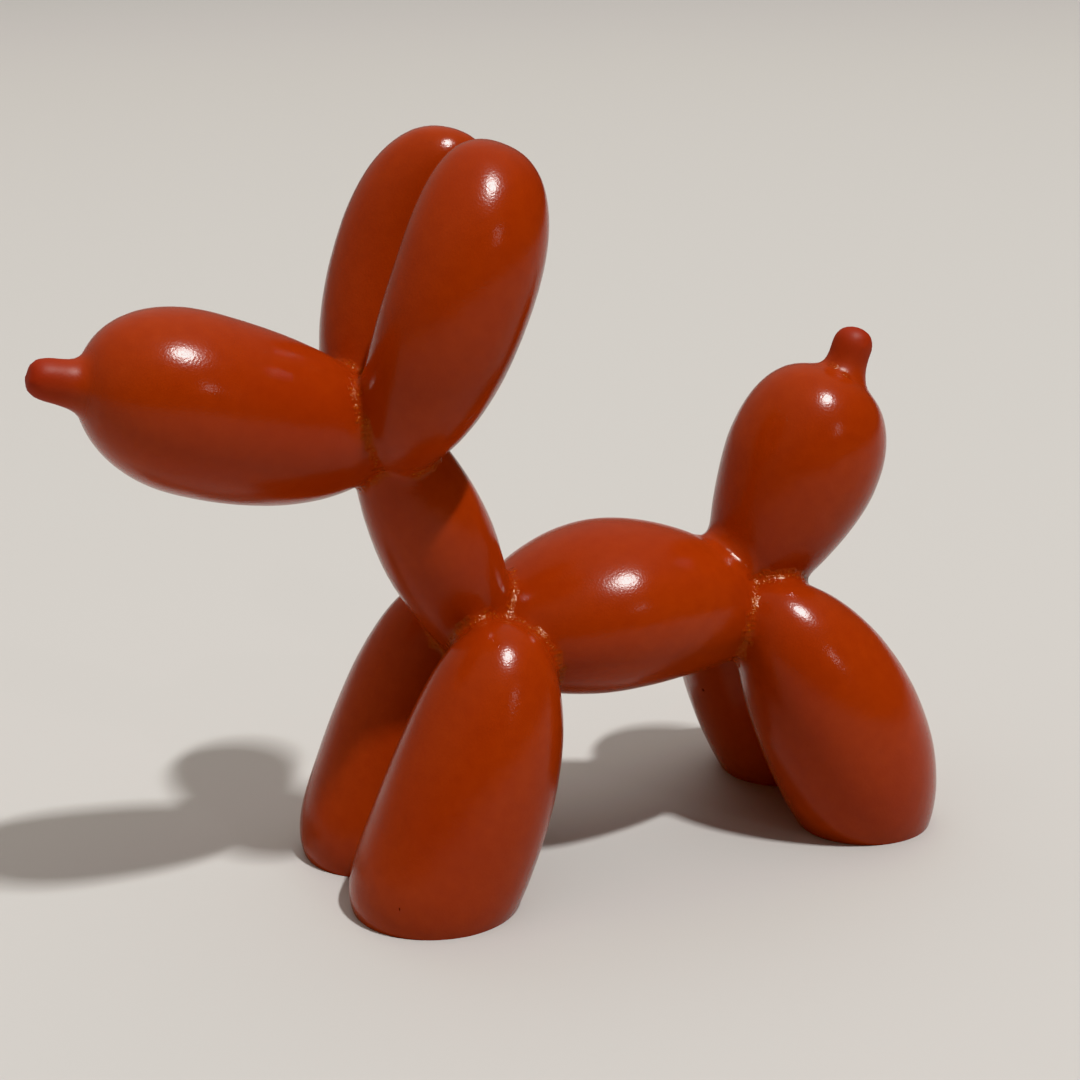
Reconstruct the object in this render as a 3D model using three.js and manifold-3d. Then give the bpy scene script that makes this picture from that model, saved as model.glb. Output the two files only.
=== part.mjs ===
// Balloon poodle: a cast resin figurine in the shape of a dog twisted from one long balloon.
//
// Millimetres, +Z up. The dog faces -X and its left side is -Y. The origin is at the middle of the
// figurine's box, on the plane its four feet stand on. It is cast as one piece, so it is one solid:
// egg-shaped lobes that run into each other at three knots, cut flat under the feet.

import * as THREE from "three";
import { mergeVertices } from "three/addons/utils/BufferGeometryUtils.js";
import Module from "manifold-3d";

// ---------------------------------------------------------------- driving dimensions

// Where the lobes meet, as [x, z] on the middle plane.
const HEAD = [-20.6, 80.8];
const SHOULDER = [-3.6, 43.0];
const HIP = [47.9, 43.0];

// Belly radius of each kind of lobe.
const SNOUT_RADIUS = 15.2;
const EAR_RADIUS = 11.9;
const NECK_RADIUS = 10.3;
const BODY_RADIUS = 15.4;
const FRONT_LEG_RADIUS = 15.2;
const HIND_LEG_RADIUS = 15.4;
const TAIL_RADIUS = 14.6;

// How much wider than it is tall the body lobe is.
const BODY_WIDENING = 1.25;

// The knob of untwisted balloon left at the nose, and the one at the tail.
const NOSE_KNOB_RADIUS = 3.6;
const TAIL_KNOB_RADIUS = 3.8;

// Facets: how many round a lobe, and how many along each half of it.
const FACETS_ROUND = 28;
const FACETS_ALONG_HALF = 8;
const KNOB_FACETS_ROUND = 20;
const KNOB_FACETS_END = 5;

const PAINT = { color: 0xc2400f, roughness: 0.38, metalness: 0 };

// ---------------------------------------------------------------- lobes

const at = (knot, forward, side, up) => new THREE.Vector3(knot[0] - forward, side, knot[1] + up);

// One lobe is an egg of revolution from its root to its tip. bellyAt is how far along its belly is,
// rootFullness and tipFullness square its two ends (2 is an ellipse, more is blunter), and bow is
// how far its middle stands off the straight line.
const SNOUT = {
  root: at(HEAD, -0.4, 0, -0.4),
  tip: at(HEAD, 51.7, 0, 17.4),
  belly: SNOUT_RADIUS,
  bellyAt: 0.64,
  rootFullness: 2.1,
  tipFullness: 2.15,
  bow: [0, 0, -1.1],
};

const NECK = {
  root: at(HEAD, 2.7, 0, 6.8),
  tip: at(SHOULDER, -2.8, 0, -8.4),
  belly: NECK_RADIUS,
  bellyAt: 0.48,
  rootFullness: 1.9,
  tipFullness: 1.7,
  bow: [0, 0, 0],
};

const BODY = {
  root: at(SHOULDER, 3.8, 0, -1.3),
  tip: at(HIP, -7.5, 0, -4.2),
  belly: BODY_RADIUS,
  bellyAt: 0.44,
  rootFullness: 1.8,
  tipFullness: 1.75,
  bow: [0, 0, 4.9],
};

const TAIL = {
  root: at(HIP, 3.5, 0, -5.6),
  tip: at(HIP, -20.4, 0, 40.6),
  belly: TAIL_RADIUS,
  bellyAt: 0.64,
  rootFullness: 1.5,
  tipFullness: 2.4,
  bow: [1.3, 0, 0],
};

// Ears and legs are given for the right side (+Y) and mirrored for the left.
const EAR = {
  root: at(HEAD, 2.1, 4.5, -3.6),
  tip: at(HEAD, -17.3, 10.5, 50.3),
  belly: EAR_RADIUS,
  bellyAt: 0.59,
  rootFullness: 2.3,
  tipFullness: 2.55,
  bow: [-0.7, 6.0, 0],
};

const FRONT_LEG = {
  root: at(SHOULDER, -0.1, 13.1, 6.4),
  tip: at(SHOULDER, 20.9, 12.5, -50.7),
  belly: FRONT_LEG_RADIUS,
  bellyAt: 0.71,
  rootFullness: 2.35,
  tipFullness: 2.75,
  bow: [1.4, 1.4, 0],
};

const HIND_LEG = {
  root: at(HIP, 0.6, 10.4, 4.9),
  tip: at(HIP, -24.5, 15.2, -53.5),
  belly: HIND_LEG_RADIUS,
  bellyAt: 0.51,
  rootFullness: 2.0,
  tipFullness: 2.15,
  bow: [2.8, 1.5, 0],
};

// Each knob is a short stalk with a round end. Its root is buried in the lobe that carries it.
const NOSE_KNOB = {
  root: at(HEAD, 46.6, 0, 13.7),
  tip: at(HEAD, 60.2, 0, 17.6),
  radius: NOSE_KNOB_RADIUS,
  waist: 4.0,
  foot: 6.0,
};

const TAIL_KNOB = {
  root: at(HIP, -19.0, 0, 33.5),
  tip: at(HIP, -24.5, 0, 48.5),
  radius: TAIL_KNOB_RADIUS,
  waist: 4.1,
  foot: 8.2,
};

// Radius and station of a lobe, from the root (station 0) to the tip (station 1).
function lobeProfile({ belly, bellyAt, rootFullness, tipFullness }, length) {
  const points = [];
  const add = (angle, fullness, side, reach) => {
    const out = Math.max(0, Math.sin(angle)) ** (2 / fullness);
    const along = Math.max(0, Math.cos(angle)) ** (2 / fullness);
    points.push(new THREE.Vector2(belly * out, length * (bellyAt + side * along * reach)));
  };
  const quarter = Math.PI / 2;
  for (let i = 0; i <= FACETS_ALONG_HALF; i++) {
    add((quarter * i) / FACETS_ALONG_HALF, rootFullness, -1, bellyAt);
  }
  for (let i = FACETS_ALONG_HALF - 1; i >= 0; i--) {
    add((quarter * i) / FACETS_ALONG_HALF, tipFullness, 1, 1 - bellyAt);
  }
  closeOnAxis(points);
  return points;
}

// A knob's profile: a flared foot, a waist a little thinner than the end, and a round end.
function knobProfile({ radius, waist, foot }, length) {
  const curve = new THREE.CatmullRomCurve3([
    new THREE.Vector3(foot, 0, 0),
    new THREE.Vector3((foot + waist) / 2, 0.25 * length, 0),
    new THREE.Vector3(waist, 0.5 * length, 0),
    new THREE.Vector3(radius, length - radius, 0),
  ]);
  const points = [new THREE.Vector2(0, 0)];
  for (const p of curve.getPoints(2 * KNOB_FACETS_END)) {
    points.push(new THREE.Vector2(p.x, p.y));
  }
  for (let i = 1; i <= KNOB_FACETS_END; i++) {
    const angle = ((Math.PI / 2) * i) / KNOB_FACETS_END;
    points.push(new THREE.Vector2(radius * Math.cos(angle), length - radius + radius * Math.sin(angle)));
  }
  closeOnAxis(points);
  return points;
}

function closeOnAxis(points) {
  points[0].x = 0;
  points[points.length - 1].x = 0;
}

// ---------------------------------------------------------------- geometry

// Turns a profile about the line from root to tip, then bows the middle off that line.
function turned(profile, facets, root, tip, bow = [0, 0, 0]) {
  const geometry = new THREE.LatheGeometry(profile, facets);
  const length = root.distanceTo(tip);
  const direction = tip.clone().sub(root).normalize();
  const lean = new THREE.Quaternion().setFromUnitVectors(new THREE.Vector3(0, 1, 0), direction);
  const offset = new THREE.Vector3(...bow);
  const position = geometry.attributes.position;
  const point = new THREE.Vector3();
  for (let i = 0; i < position.count; i++) {
    point.fromBufferAttribute(position, i);
    const station = point.y / length;
    point.applyQuaternion(lean).add(root).addScaledVector(offset, 4 * station * (1 - station));
    position.setXYZ(i, point.x, point.y, point.z);
  }
  return geometry;
}

const lobe = (shape) => {
  const length = shape.root.distanceTo(shape.tip);
  return turned(lobeProfile(shape, length), FACETS_ROUND, shape.root, shape.tip, shape.bow);
};

const knob = (shape) => {
  const length = shape.root.distanceTo(shape.tip);
  return turned(knobProfile(shape, length), KNOB_FACETS_ROUND, shape.root, shape.tip);
};

// The same shape on the other side of the middle plane, with its faces still pointing out.
function mirrored(geometry) {
  const copy = geometry.clone();
  copy.scale(1, -1, 1);
  const index = copy.index;
  for (let i = 0; i < index.count; i += 3) {
    const second = index.getX(i + 1);
    index.setX(i + 1, index.getX(i + 2));
    index.setX(i + 2, second);
  }
  return copy;
}

// ---------------------------------------------------------------- joining and cutting

const wasm = await Module();
wasm.setup();

function toSolid(geometry) {
  const bare = geometry.clone();
  bare.deleteAttribute("normal");
  bare.deleteAttribute("uv");
  const merged = mergeVertices(bare, 1e-4);
  const triangles = [];
  for (let i = 0; i < merged.index.count; i += 3) {
    const [a, b, c] = [0, 1, 2].map((k) => merged.index.getX(i + k));
    if (a !== b && b !== c && c !== a) {
      triangles.push(a, b, c);
    }
  }
  return new wasm.Manifold(
    new wasm.Mesh({
      numProp: 3,
      vertProperties: new Float32Array(merged.attributes.position.array),
      triVerts: new Uint32Array(triangles),
    }),
  );
}

function toGeometry(solid) {
  const mesh = solid.getMesh();
  const geometry = new THREE.BufferGeometry();
  geometry.setAttribute("position", new THREE.BufferAttribute(mesh.vertProperties, mesh.numProp));
  geometry.setIndex(new THREE.BufferAttribute(mesh.triVerts, 1));
  geometry.computeVertexNormals();
  return geometry;
}

// Everything below the plane the feet stand on.
function belowTheFeet() {
  const size = 400;
  const block = new THREE.BoxGeometry(size, size, size);
  block.translate(0, 0, -size / 2);
  return toSolid(block);
}

// ---------------------------------------------------------------- the figurine

function balloonPoodle() {
  const pairs = [EAR, FRONT_LEG, HIND_LEG].map(lobe);
  const pieces = [
    ...[SNOUT, NECK, TAIL].map(lobe),
    lobe(BODY).scale(1, BODY_WIDENING, 1),
    ...[NOSE_KNOB, TAIL_KNOB].map(knob),
    ...pairs,
    ...pairs.map(mirrored),
  ];
  const joined = pieces.map(toSolid).reduce((whole, piece) => whole.add(piece));
  const mesh = new THREE.Mesh(
    toGeometry(joined.subtract(belowTheFeet())),
    new THREE.MeshStandardMaterial(PAINT),
  );
  mesh.name = "balloon_poodle";
  return mesh;
}

const figurine = new THREE.Group();
figurine.add(balloonPoodle());

export default figurine;
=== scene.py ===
"""Balloon poodle figurine: its looks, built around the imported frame.

Metres, +Z up. The dog faces -X and its left side is -Y. Lobe and knob sizes are given in millimetres,
as on a maker's drawing, and come down to metres by MM.
"""

import math

import bpy
from mathutils import Matrix, Vector
from mathutils.kdtree import KDTree


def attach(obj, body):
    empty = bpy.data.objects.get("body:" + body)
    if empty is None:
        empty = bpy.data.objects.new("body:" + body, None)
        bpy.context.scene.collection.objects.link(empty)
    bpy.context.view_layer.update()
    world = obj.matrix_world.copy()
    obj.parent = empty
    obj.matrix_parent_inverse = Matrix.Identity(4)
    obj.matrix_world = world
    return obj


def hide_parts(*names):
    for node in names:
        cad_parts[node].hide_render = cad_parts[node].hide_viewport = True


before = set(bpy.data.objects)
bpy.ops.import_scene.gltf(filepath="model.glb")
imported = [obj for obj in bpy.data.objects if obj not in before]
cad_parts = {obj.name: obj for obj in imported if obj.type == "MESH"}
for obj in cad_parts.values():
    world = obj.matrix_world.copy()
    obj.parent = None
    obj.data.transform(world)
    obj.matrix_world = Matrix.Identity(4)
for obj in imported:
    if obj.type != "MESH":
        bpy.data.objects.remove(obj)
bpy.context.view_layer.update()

MM = 0.001

# ---------------------------------------------------------------- shape

# Where the lobes meet, as (x, z) on the middle plane.
HEAD = (-20.6, 80.8)
SHOULDER = (-3.6, 43.0)
HIP = (47.9, 43.0)


def at(knot, forward, side, up):
    """A place near a knot, in metres."""
    return Vector((knot[0] - forward, side, knot[1] + up)) * MM


# Each lobe is an egg from its root to its tip. belly_at is how far along its belly is, root_fullness
# and tip_fullness square its two ends (2 is an ellipse, more is blunter), and bow is how far its
# middle stands off the straight line.
LOBES = {
    "snout": dict(
        root=at(HEAD, -0.4, 0, -0.4), tip=at(HEAD, 51.7, 0, 17.4), belly=15.2, belly_at=0.64,
        root_fullness=2.1, tip_fullness=2.15, bow=(0, 0, -1.1),
    ),
    "neck": dict(
        root=at(HEAD, 2.7, 0, 6.8), tip=at(SHOULDER, -2.8, 0, -8.4), belly=10.3, belly_at=0.48,
        root_fullness=1.9, tip_fullness=1.7, bow=(0, 0, 0),
    ),
    "body": dict(
        root=at(SHOULDER, 3.8, 0, -1.3), tip=at(HIP, -7.5, 0, -4.2), belly=15.4, belly_at=0.44,
        root_fullness=1.8, tip_fullness=1.75, bow=(0, 0, 4.9),
    ),
    "tail": dict(
        root=at(HIP, 3.5, 0, -5.6), tip=at(HIP, -20.4, 0, 40.6), belly=14.6, belly_at=0.64,
        root_fullness=1.5, tip_fullness=2.4, bow=(1.3, 0, 0),
    ),
    "ear": dict(
        root=at(HEAD, 2.1, 4.5, -3.6), tip=at(HEAD, -17.3, 10.5, 50.3), belly=11.9, belly_at=0.59,
        root_fullness=2.3, tip_fullness=2.55, bow=(-0.7, 6.0, 0),
    ),
    "front_leg": dict(
        root=at(SHOULDER, -0.1, 13.1, 6.4), tip=at(SHOULDER, 20.9, 12.5, -50.7), belly=15.2,
        belly_at=0.71, root_fullness=2.35, tip_fullness=2.75, bow=(1.4, 1.4, 0),
    ),
    "hind_leg": dict(
        root=at(HIP, 0.6, 10.4, 4.9), tip=at(HIP, -24.5, 15.2, -53.5), belly=15.4, belly_at=0.51,
        root_fullness=2.0, tip_fullness=2.15, bow=(2.8, 1.5, 0),
    ),
}

# These are given for the right side (+Y) and mirrored for the left.
PAIRED = ("ear", "front_leg", "hind_leg")

# How much wider than it is tall the body lobe is.
BODY_WIDENING = 1.25

# Each knob of untwisted balloon, with its rings as (how far along, radius).
KNOBS = {
    "nose_knob": dict(
        root=at(HEAD, 46.6, 0, 13.7), tip=at(HEAD, 60.2, 0, 17.6),
        rings=(
            (0, 6.0), (0.16, 5.4), (0.27, 4.9), (0.37, 4.45), (0.51, 4.0), (0.62, 3.75), (0.72, 3.65),
            (0.82, 3.5), (0.89, 3.2), (0.95, 2.6), (0.985, 2.0), (1.0, 1.4), (0.97, 0.9), (0.94, 0.4),
        ),
    ),
    "tail_knob": dict(
        root=at(HIP, -19.0, 0, 33.5), tip=at(HIP, -24.5, 0, 48.5),
        rings=(
            (0, 8.2), (0.12, 7.2), (0.24, 6.1), (0.36, 5.0), (0.48, 4.2), (0.58, 3.8), (0.68, 3.75),
            (0.77, 3.85), (0.84, 3.75), (0.90, 3.35), (0.95, 2.7), (0.985, 1.7), (1.0, 0.6),
        ),
    ),
}
KNOB_TIPS = [shape["tip"] for shape in KNOBS.values()]

# How near to a knob's tip a fold is part of its end and no crease, and how far its dull paint and its
# painted shade reach.
KNOB_END = 6.0 * MM
DULL_REACH = 13.0 * MM

# The lobes' own faces, before they are made one skin of even faces. RING_CROWDING above 1 draws the
# rings closer together towards a lobe's ends.
RING_SIDES = 96
RINGS_PER_HALF = 22
RING_CROWDING = 1.4
SKIN_FACE = 0.95 * MM
SKIN_SMOOTHING_ROUNDS = 3
SMOOTHING = 0.5

# Creases: how sharp a fold is one, how far its finer faces and its wrinkles reach, how fine and deep
# the wrinkles are, and how far the painted shade and painted glints along a crease can reach.
CREASE_ANGLE = math.radians(26)
CREASE_REACH = 1.2 * MM
CREASE_CUTS = 2
CREASE_SMOOTHING_ROUNDS = 5
WRINKLE_REACH = 0.9 * CREASE_REACH
WRINKLE_SIZE = 0.5 * MM
WRINKLE_DEPTH = 0.10 * MM
SHADE_REACH = 3.0 * MM

# Folds at the hip that are filled in more roundly than the others: the middle of each, how far about
# it, and how many rounds of smoothing.
EASED = (
    (at(HIP, 5.9, 0, 15.3), 13.0 * MM, 34),
    (at(HIP, -15.8, 0, 1.0), 10.0 * MM, 18),
)
EASED_BAND = 3.2 * MM

# The hand-smoothed surface between the creases: long, very shallow hollows and swells.
SWELL_SIZE = 9.0 * MM
SWELL_DEPTH = 0.10 * MM

# Pinholes that air bubbles left in the casting.
PINHOLES = (
    Vector((-29.7, -23.9, 5.8)) * MM,
    Vector((0.7, -20.3, 41.2)) * MM,
    Vector((49.3, -23.6, 21.6)) * MM,
    Vector((46.1, 9.9, 20.5)) * MM,
)
PINHOLE_RIM = 0.24 * MM
PINHOLE_DEPTH = 1.0 * MM

# Edges sharper than this stay crisp, such as the rims of the feet.
CRISP_ANGLE = math.radians(40)

# How near to the plane under the feet a point has to be to count as on it.
CUT_TOLERANCE = 1e-7

# ---------------------------------------------------------------- modelling


def pick_only(piece):
    """This piece selected and active, and nothing else selected."""
    bpy.ops.object.select_all(action="DESELECT")
    piece.select_set(True)
    bpy.context.view_layer.objects.active = piece


def place_in_mesh():
    """The selected object back at the origin, unturned and unscaled, with its place in its mesh."""
    bpy.ops.object.transform_apply(location=True, rotation=True, scale=True)


def draw_out(name, rings, axis):
    """A disc at the first ring, drawn out ring by ring; a ring is a centre and a radius."""
    bpy.ops.object.select_all(action="DESELECT")
    centre, radius = rings[0]
    turn = axis.to_track_quat("Z", "Y").to_euler()
    bpy.ops.mesh.primitive_circle_add(
        vertices=RING_SIDES, radius=radius, fill_type="NGON", location=centre, rotation=turn
    )
    piece = bpy.context.object
    piece.name = name
    place_in_mesh()
    bpy.ops.object.mode_set(mode="EDIT")
    bpy.ops.mesh.select_all(action="SELECT")
    for next_centre, next_radius in rings[1:]:
        bpy.ops.mesh.extrude_region_move(TRANSFORM_OT_translate={"value": next_centre - centre})
        grow = next_radius / radius
        bpy.ops.transform.resize(value=(grow, grow, grow), center_override=next_centre)
        centre, radius = next_centre, next_radius
    bpy.ops.mesh.select_all(action="SELECT")
    bpy.ops.mesh.normals_make_consistent(inside=False)
    bpy.ops.object.mode_set(mode="OBJECT")
    return piece


def lobe(name):
    """One lobe as an egg of revolution, bowed off its straight line."""
    shape = LOBES[name]
    root, tip, belly_at = shape["root"], shape["tip"], shape["belly_at"]
    bow = Vector(shape["bow"]) * MM
    rings = []

    def ring(step, fullness, side, reach):
        angle = math.pi / 2 * (step / RINGS_PER_HALF) ** RING_CROWDING
        station = belly_at + side * reach * math.cos(angle) ** (2 / fullness)
        centre = root.lerp(tip, station) + 4 * station * (1 - station) * bow
        rings.append((centre, shape["belly"] * MM * math.sin(angle) ** (2 / fullness)))

    for step in range(1, RINGS_PER_HALF + 1):
        ring(step, shape["root_fullness"], -1, belly_at)
    for step in range(RINGS_PER_HALF - 1, 0, -1):
        ring(step, shape["tip_fullness"], 1, 1 - belly_at)
    return draw_out(name, rings, tip - root)


def knob(name):
    """One knob, drawn out along the rings that it is given."""
    root, tip = KNOBS[name]["root"], KNOBS[name]["tip"]
    rings = [(root.lerp(tip, along), radius * MM) for along, radius in KNOBS[name]["rings"]]
    return draw_out(name, rings, tip - root)


def mirrored(piece):
    """A copy on the other side of the middle plane, with its faces still pointing out."""
    pick_only(piece)
    bpy.ops.object.duplicate()
    copy = bpy.context.object
    bpy.ops.transform.mirror(constraint_axis=(False, True, False), center_override=(0, 0, 0))
    place_in_mesh()
    bpy.ops.object.mode_set(mode="EDIT")
    bpy.ops.mesh.select_all(action="SELECT")
    bpy.ops.mesh.normals_make_consistent(inside=False)
    bpy.ops.object.mode_set(mode="OBJECT")
    return copy


def widen(piece, factor):
    """Wider from side to side, about the middle plane."""
    pick_only(piece)
    bpy.ops.transform.resize(value=(1, factor, 1), center_override=(0, 0, 0))
    place_in_mesh()


def join(pieces, name):
    pick_only(pieces[0])
    for piece in pieces:
        piece.select_set(True)
    bpy.ops.object.join()
    whole = bpy.context.object
    whole.name = name
    whole.data.name = name
    return whole


def apply_modifier(piece, kind, **settings):
    modifier = piece.modifiers.new(kind.lower(), kind)
    for key, value in settings.items():
        setattr(modifier, key, value)
    bpy.ops.object.modifier_apply(modifier=modifier.name)


def edit(piece, mode):
    """Edit mode on this piece alone, with nothing selected."""
    pick_only(piece)
    bpy.ops.object.mode_set(mode="EDIT")
    bpy.context.tool_settings.mesh_select_mode = (mode == "VERT", mode == "EDGE", mode == "FACE")
    bpy.ops.mesh.select_all(action="DESELECT")


def clear_selection(piece, mode):
    """Object mode, with nothing of this mesh selected, ready to be picked from in code."""
    edit(piece, mode)
    bpy.ops.object.mode_set(mode="OBJECT")


def crease_tree(piece):
    """A search tree of the points on every sharp fold, where two lobes meet."""
    edit(piece, "EDGE")
    bpy.ops.mesh.edges_select_sharp(sharpness=CREASE_ANGLE)
    bpy.ops.object.mode_set(mode="OBJECT")
    sharp = [v.co.copy() for v in piece.data.vertices if v.select]
    points = [place for place in sharp if all((place - tip).length > KNOB_END for tip in KNOB_TIPS)]
    tree = KDTree(len(points))
    for i, point in enumerate(points):
        tree.insert(point, i)
    tree.balance()
    return tree


def nearness(creases, place, reach):
    """1 on a crease, falling to 0 at this reach."""
    return max(0.0, 1.0 - creases.find(place)[2] / reach)


def knob_nearness(place):
    """1 on a knob's tip, falling to 0 where its dull paint and painted shade end."""
    return max(0.0, 1.0 - min((place - tip).length for tip in KNOB_TIPS) / DULL_REACH)


def soften(piece):
    """Takes the remeshed skin's steps off, all over."""
    edit(piece, "VERT")
    bpy.ops.mesh.select_all(action="SELECT")
    bpy.ops.mesh.vertices_smooth(factor=SMOOTHING, repeat=SKIN_SMOOTHING_ROUNDS)
    bpy.ops.object.mode_set(mode="OBJECT")


def ease(piece, creases, middle, reach, rounds):
    """More rounding on the folds about one place."""
    clear_selection(piece, "VERT")
    for v in piece.data.vertices:
        v.select = (v.co - middle).length < reach and nearness(creases, v.co, EASED_BAND) > 0.0
    bpy.ops.object.mode_set(mode="EDIT")
    bpy.ops.mesh.vertices_smooth(factor=SMOOTHING, repeat=rounds)
    bpy.ops.object.mode_set(mode="OBJECT")


def refine_creases(piece, creases):
    """Finer faces along the creases, rounded over again."""
    clear_selection(piece, "FACE")
    for face in piece.data.polygons:
        face.select = nearness(creases, face.center, CREASE_REACH) > 0.0
    bpy.ops.object.mode_set(mode="EDIT")
    bpy.ops.mesh.subdivide(number_cuts=CREASE_CUTS, smoothness=0.0)
    bpy.ops.mesh.vertices_smooth(factor=SMOOTHING, repeat=CREASE_SMOOTHING_ROUNDS)
    bpy.ops.object.mode_set(mode="OBJECT")


def weigh_creases(piece, creases):
    """A vertex group that is full on the creases and fades out beside them."""
    group = piece.vertex_groups.new(name="crease")
    for v in piece.data.vertices:
        weight = nearness(creases, v.co, WRINKLE_REACH)
        if weight > 0:
            group.add([v.index], weight, "REPLACE")


def roughen(piece, name, size, octaves, depth, **limits):
    """Moves the surface in and out by a cloud pattern of this size and depth."""
    pattern = bpy.data.textures.new(name, "CLOUDS")
    pattern.noise_scale = size
    pattern.noise_depth = octaves
    apply_modifier(
        piece, "DISPLACE", texture=pattern, strength=depth, mid_level=0.5, texture_coords="LOCAL", **limits
    )


def cut_feet(piece):
    """Flat feet on the plane z = 0, cut straight across and filled."""
    edit(piece, "EDGE")
    bpy.ops.mesh.select_all(action="SELECT")
    bpy.ops.mesh.bisect(
        plane_co=(0, 0, 0), plane_no=(0, 0, 1), use_fill=True, clear_inner=True, threshold=CUT_TOLERANCE
    )
    bpy.ops.object.mode_set(mode="OBJECT")


def prick(piece, place):
    """A pinhole through the face nearest to this place."""
    _, _, normal, index = piece.closest_point_on_mesh(place)
    clear_selection(piece, "FACE")
    piece.data.polygons[index].select = True
    bpy.ops.object.mode_set(mode="EDIT")
    bpy.ops.mesh.inset(thickness=PINHOLE_RIM, depth=0)
    bpy.ops.mesh.extrude_region_move(TRANSFORM_OT_translate={"value": -normal * PINHOLE_DEPTH})
    bpy.ops.object.mode_set(mode="OBJECT")


def mark(piece, name, value_at):
    """A value at every point of the mesh, for the paint to read."""
    values = piece.data.attributes.new(name, "FLOAT", "POINT")
    for v in piece.data.vertices:
        values.data[v.index].value = value_at(v.co)


def cast_poodle():
    """The whole figurine, as one closed skin."""
    single = [lobe(name) for name in LOBES if name not in PAIRED]
    widen(bpy.data.objects["body"], BODY_WIDENING)
    right = [lobe(name) for name in PAIRED]
    left = [mirrored(piece) for piece in right]
    knobs = [knob(name) for name in KNOBS]
    dog = join(single + right + left + knobs, "poodle_casting")
    apply_modifier(dog, "REMESH", mode="VOXEL", voxel_size=SKIN_FACE, adaptivity=0)
    creases = crease_tree(dog)
    soften(dog)
    for middle, reach, rounds in EASED:
        ease(dog, creases, middle, reach, rounds)
    refine_creases(dog, creases)
    weigh_creases(dog, creases)
    roughen(dog, "swells", SWELL_SIZE, 0, SWELL_DEPTH)
    roughen(dog, "wrinkles", WRINKLE_SIZE, 1, WRINKLE_DEPTH, vertex_group="crease")
    cut_feet(dog)
    for place in PINHOLES:
        prick(dog, place)
    bpy.ops.object.shade_smooth_by_angle(angle=CRISP_ANGLE)
    # The paint reads both of these, for painted shade and painted glints as well as sheen, beads and
    # dullness.
    mark(dog, "crease_nearness", lambda place: nearness(creases, place, SHADE_REACH))
    mark(dog, "knob_nearness", knob_nearness)
    return dog


# ---------------------------------------------------------------- paint

ORANGE = (0.34, 0.040, 0.0095, 1)
DEEP_ORANGE = (0.30, 0.031, 0.0085, 1)
MOTTLE_RED = (0.25, 0.023, 0.006, 1)
# Painted shade, darker along the creases.
CREASE_PAINTED_SHADE = (0.22, 0.015, 0.004, 1)
# Painted glints: golden specks where tiny highlights fall along the creases.
GOLD_PAINTED_GLINT = (0.55, 0.14, 0.025, 1)
# Painted shade, darker red towards the knobs' tips.
KNOB_PAINTED_SHADE = (0.27, 0.017, 0.007, 1)

# How much of each colour there is where it is at its most.
MOTTLE_AMOUNT = 0.35
# The crease and knob colours are painted shade, and the specks are painted glints.
CREASE_SHADE_AMOUNT = 0.5
PAINTED_GLINT_AMOUNT = 0.6
KNOB_SHADE_AMOUNT = 0.75

# Patterns in the paint, in waves to the metre.
COLOUR_DRIFT = 38.0
MOTTLING = 420.0
# The pattern of the painted glints.
PAINTED_GLINTS = 1900.0
GLOSS_DRIFT = 150.0
GRAIN = 2400.0
ORANGE_PEEL = 420.0
BEADS = 2300.0

# What a pattern mostly keeps between, and the part of the painted glints' pattern where a glint fades in.
PATTERN_RANGE = (0.3, 0.7)
PAINTED_GLINT_RANGE = (0.56, 0.64)

# Where each finish begins and where it is at its most, as a nearness to a crease: 1 is on it.
# The painted shade in the creases.
CREASE_SHADE_BAND = (0.55, 1.0)
# The painted glints along the creases.
PAINTED_GLINT_BAND = (0.86, 0.98)
GOLDEN_BAND = (0.6, 0.9)
BEAD_BAND = (0.76, 0.93)

# The same on the knobs, as a nearness to a knob's tip.
# Painted shade towards the knobs' tips.
KNOB_SHADE_BAND = (0.25, 0.85)
DULL_BAND = (0.1, 0.5)

GLOSSIEST, LEAST_GLOSSY = 0.19, 0.25
KNOB_DULLING = 0.36
PLAIN_SHEEN = (1, 1, 1, 1)
GOLDEN_SHEEN = (1.0, 0.74, 0.44, 1)
SHEEN_LEVEL = 0.5

# The depth and strength of each bump in the paint.
GRAIN_BUMP = (0.05 * MM, 0.6)
PEEL_BUMP = (0.10 * MM, 0.22)
BEAD_BUMP = (0.28 * MM, 0.9)


def new_material(name):
    material = bpy.data.materials.new(name)
    material.use_nodes = True
    tree = material.node_tree
    return material, tree.nodes, tree.links, tree.nodes["Principled BSDF"]


paint, nodes, links, shader = new_material("orange_paint")
object_space = nodes.new("ShaderNodeTexCoord").outputs["Object"]


def noise(waves, detail=2.0, roughness=0.5):
    node = nodes.new("ShaderNodeTexNoise")
    node.inputs["Scale"].default_value = waves
    node.inputs["Detail"].default_value = detail
    node.inputs["Roughness"].default_value = roughness
    links.new(object_space, node.inputs["Vector"])
    return node.outputs["Fac"]


def marked(name):
    """A value that the mesh carries at its points."""
    node = nodes.new("ShaderNodeAttribute")
    node.attribute_name = name
    return node.outputs["Fac"]


def spread(value, low, high, over=PATTERN_RANGE):
    """Runs from low to high while the value runs over this range."""
    node = nodes.new("ShaderNodeMapRange")
    links.new(value, node.inputs["Value"])
    node.inputs["From Min"].default_value, node.inputs["From Max"].default_value = over
    node.inputs["To Min"].default_value = low
    node.inputs["To Max"].default_value = high
    return node.outputs["Result"]


def combine(operation, first, second):
    node = nodes.new("ShaderNodeMath")
    node.operation = operation
    links.new(first, node.inputs[0])
    links.new(second, node.inputs[1])
    return node.outputs[0]


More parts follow.
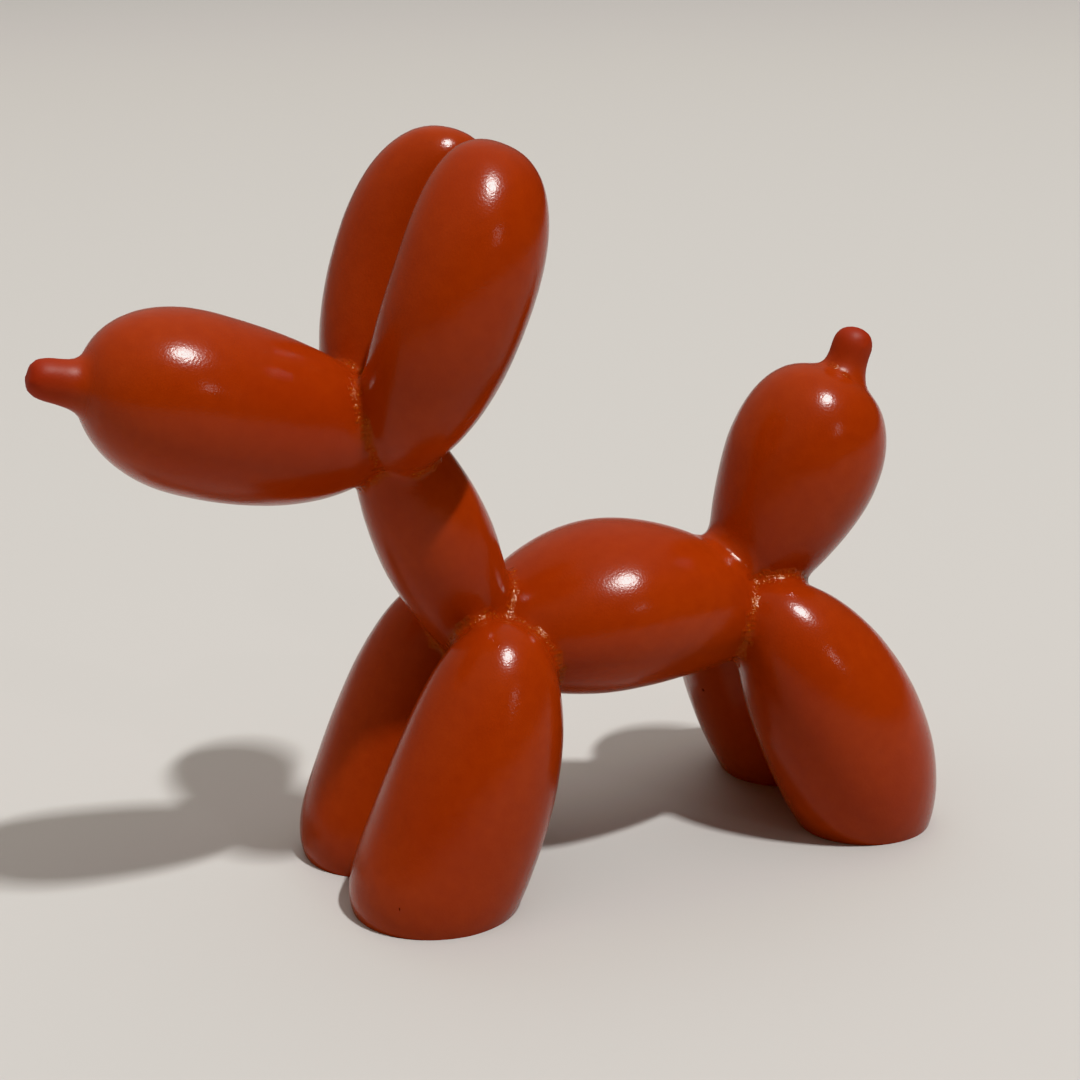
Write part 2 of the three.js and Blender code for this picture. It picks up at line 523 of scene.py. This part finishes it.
def blend(amount, first, second):
    """From the first colour to the second. Each is a colour, or a blend that was made before."""
    node = nodes.new("ShaderNodeMix")
    node.data_type = "RGBA"
    links.new(amount, node.inputs["Factor"])
    for name, colour in (("A", first), ("B", second)):
        socket = next(i for i in node.inputs if i.name == name and i.type == "RGBA")
        if isinstance(colour, tuple):
            socket.default_value = colour
        else:
            links.new(colour, socket)
    return next(o for o in node.outputs if o.type == "RGBA")


def bump(height, depth, strength, under=None):
    """A bump, on top of the one under it."""
    node = nodes.new("ShaderNodeBump")
    node.inputs["Distance"].default_value = depth
    node.inputs["Strength"].default_value = strength
    links.new(height, node.inputs["Height"])
    if under is not None:
        links.new(under, node.inputs["Normal"])
    return node.outputs["Normal"]


def coat_colour(crease, knob_end):
    """Orange that drifts and mottles, with painted shade and gold painted glints in the creases and
    painted shade at the knobs.
    """
    coat = blend(spread(noise(COLOUR_DRIFT), 0.0, 1.0), ORANGE, DEEP_ORANGE)
    coat = blend(spread(noise(MOTTLING, detail=4.0), 0.0, MOTTLE_AMOUNT), coat, MOTTLE_RED)
    # Painted shade, darker along the creases.
    coat = blend(spread(crease, 0.0, CREASE_SHADE_AMOUNT, CREASE_SHADE_BAND), coat, CREASE_PAINTED_SHADE)
    # Specks of painted glint along the creases.
    painted_glint_pattern = spread(noise(PAINTED_GLINTS, detail=1.0), 0.0, 1.0, PAINTED_GLINT_RANGE)
    glints_in_creases = spread(crease, 0.0, PAINTED_GLINT_AMOUNT, PAINTED_GLINT_BAND)
    coat = blend(combine("MULTIPLY", painted_glint_pattern, glints_in_creases), coat, GOLD_PAINTED_GLINT)
    # Painted shade, darker red towards the knobs' tips.
    return blend(spread(knob_end, 0.0, KNOB_SHADE_AMOUNT, KNOB_SHADE_BAND), coat, KNOB_PAINTED_SHADE)


def gloss(knob_end):
    """Roughness that drifts a little over the lobes and is much duller at the knobs."""
    drifting = spread(noise(GLOSS_DRIFT, detail=3.0), GLOSSIEST, LEAST_GLOSSY)
    return combine("ADD", drifting, spread(knob_end, 0.0, KNOB_DULLING, DULL_BAND))


def relief(crease):
    """Fine grain, orange peel over it, and beads of pooled paint along the creases."""
    grain = bump(noise(GRAIN), *GRAIN_BUMP)
    peel = bump(noise(ORANGE_PEEL), *PEEL_BUMP, grain)
    beading = combine("MULTIPLY", noise(BEADS, roughness=0.6), spread(crease, 0.0, 1.0, BEAD_BAND))
    return bump(beading, *BEAD_BUMP, peel)


def paint_poodle(dog):
    """Satin to gloss orange paint, on the whole casting."""
    crease = marked("crease_nearness")
    knob_end = marked("knob_nearness")
    links.new(coat_colour(crease, knob_end), shader.inputs["Base Color"])
    sheen = blend(spread(crease, 0.0, 1.0, GOLDEN_BAND), PLAIN_SHEEN, GOLDEN_SHEEN)
    links.new(sheen, shader.inputs["Specular Tint"])
    links.new(gloss(knob_end), shader.inputs["Roughness"])
    links.new(relief(crease), shader.inputs["Normal"])
    shader.inputs["Specular IOR Level"].default_value = SHEEN_LEVEL
    dog.data.materials.clear()
    dog.data.materials.append(paint)


# ---------------------------------------------------------------- camera, light and floor

LOOK_AT = Vector((0.00752, 0.0, 0.05925))
LOOK_AZIMUTH = math.radians(-24.38)
LOOK_ELEVATION = math.radians(17.40)
LOOK_ROLL = math.radians(-0.51)
LOOK_DISTANCE = 0.4017
LENS = 75.48
SENSOR = 36.0
NEAR_CLIP = 0.01

# Lamps face the dog. Azimuth 0 is at its left side and 90 behind its tail; angles are in degrees.
# tilt raises the tail end of a lamp's long side.
KEY_LAMP = dict(azimuth=25.6, elevation=65.5, distance=8.0, size=(0.64, 0.22), watts=545, tilt=20.0)
LOW_LAMP = dict(azimuth=18, elevation=26, distance=3.0, size=(0.11, 0.03), watts=2.4)
SKY_PANEL = dict(azimuth=160, elevation=72, distance=3.0, size=(4.0, 4.0), watts=36)
KEY_WHITE = (1.0, 1.0, 0.97)
LOW_WHITE = (1.0, 1.0, 0.95)
SKY_WHITE = (1.0, 0.93, 0.86)

# The room is brightest this way. Its light falls from bright to dim as the cosine of the angle off
# this way falls from BRIGHT_FROM to DIM_FROM.
BRIGHT_WAY = (-0.35, 0.4, 0.85)
DIM_FROM, BRIGHT_FROM = -0.1, 0.8
DIM, BRIGHT = 0.05, 0.45
ROOM_COLOUR = (1.0, 0.92, 0.84, 1)

FLOOR_SIZE = 6.0
FLOOR_COLOUR = (0.54, 0.53, 0.52, 1)
FLOOR_ROUGHNESS = 0.6


def direction(azimuth, elevation):
    """The way out from the dog towards a thing at this azimuth and elevation."""
    return Vector((
        math.cos(elevation) * math.sin(azimuth),
        -math.cos(elevation) * math.cos(azimuth),
        math.sin(elevation),
    ))


def facing_dog(way, distance, roll):
    """The place and turn of a thing at this distance that looks back at the dog."""
    turn = way.to_track_quat("Z", "Y").to_matrix().to_4x4()
    return Matrix.Translation(LOOK_AT + distance * way) @ turn @ Matrix.Rotation(roll, 4, "Z")


def set_camera():
    """The camera that the scene is looked at through."""
    data = bpy.data.cameras.new("camera")
    data.lens = LENS
    data.sensor_width = SENSOR
    data.clip_start = NEAR_CLIP
    camera = bpy.data.objects.new("camera", data)
    bpy.context.scene.collection.objects.link(camera)
    camera.matrix_world = facing_dog(direction(LOOK_AZIMUTH, LOOK_ELEVATION), LOOK_DISTANCE, LOOK_ROLL)
    bpy.context.scene.camera = camera


def add_light(name, colour, azimuth, elevation, distance, size, watts, tilt=0.0):
    """A rectangular lamp that faces the dog."""
    data = bpy.data.lights.new(name, "AREA")
    data.shape = "RECTANGLE"
    data.size, data.size_y = size
    data.energy = watts
    data.color = colour
    light = bpy.data.objects.new(name, data)
    bpy.context.scene.collection.objects.link(light)
    way = direction(math.radians(azimuth), math.radians(elevation))
    light.matrix_world = facing_dog(way, distance, math.radians(tilt))
    return light


def light_room():
    """A pale room, brightest overhead, and dim low down on the dog's left and behind its tail."""
    world = bpy.data.worlds.new("room")
    bpy.context.scene.world = world
    world.use_nodes = True
    tree = world.node_tree
    background = tree.nodes["Background"]
    way = tree.nodes.new("ShaderNodeTexCoord").outputs["Generated"]
    facing = tree.nodes.new("ShaderNodeVectorMath")
    facing.operation = "DOT_PRODUCT"
    facing.inputs[1].default_value = BRIGHT_WAY
    tree.links.new(way, facing.inputs[0])
    level = tree.nodes.new("ShaderNodeMapRange")
    level.interpolation_type = "SMOOTHSTEP"
    tree.links.new(facing.outputs["Value"], level.inputs["Value"])
    level.inputs["From Min"].default_value = DIM_FROM
    level.inputs["From Max"].default_value = BRIGHT_FROM
    level.inputs["To Min"].default_value = DIM
    level.inputs["To Max"].default_value = BRIGHT
    background.inputs["Color"].default_value = ROOM_COLOUR
    tree.links.new(level.outputs["Result"], background.inputs["Strength"])


def lay_floor():
    """A plain pale floor, which isn't part of the dog."""
    bpy.ops.object.select_all(action="DESELECT")
    bpy.ops.mesh.primitive_plane_add(size=FLOOR_SIZE, location=(0, 0, 0))
    floor = bpy.context.object
    floor.name = "floor"
    floor_paint, _, _, floor_shader = new_material("pale_floor")
    floor_shader.inputs["Base Color"].default_value = FLOOR_COLOUR
    floor_shader.inputs["Roughness"].default_value = FLOOR_ROUGHNESS
    floor.data.materials.append(floor_paint)


# ---------------------------------------------------------------- the scene

dog = cast_poodle()
paint_poodle(dog)
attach(dog, "root")
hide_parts("balloon_poodle")

set_camera()
add_light("key_lamp", KEY_WHITE, **KEY_LAMP)
add_light("low_lamp", LOW_WHITE, **LOW_LAMP)
sky_panel = add_light("sky_panel", SKY_WHITE, **SKY_PANEL)
# The panel fills the shadows, and the glossy paint doesn't mirror it.
sky_panel.visible_glossy = False
light_room()
lay_floor()
bpy.context.scene.view_settings.view_transform = "Khronos PBR Neutral"
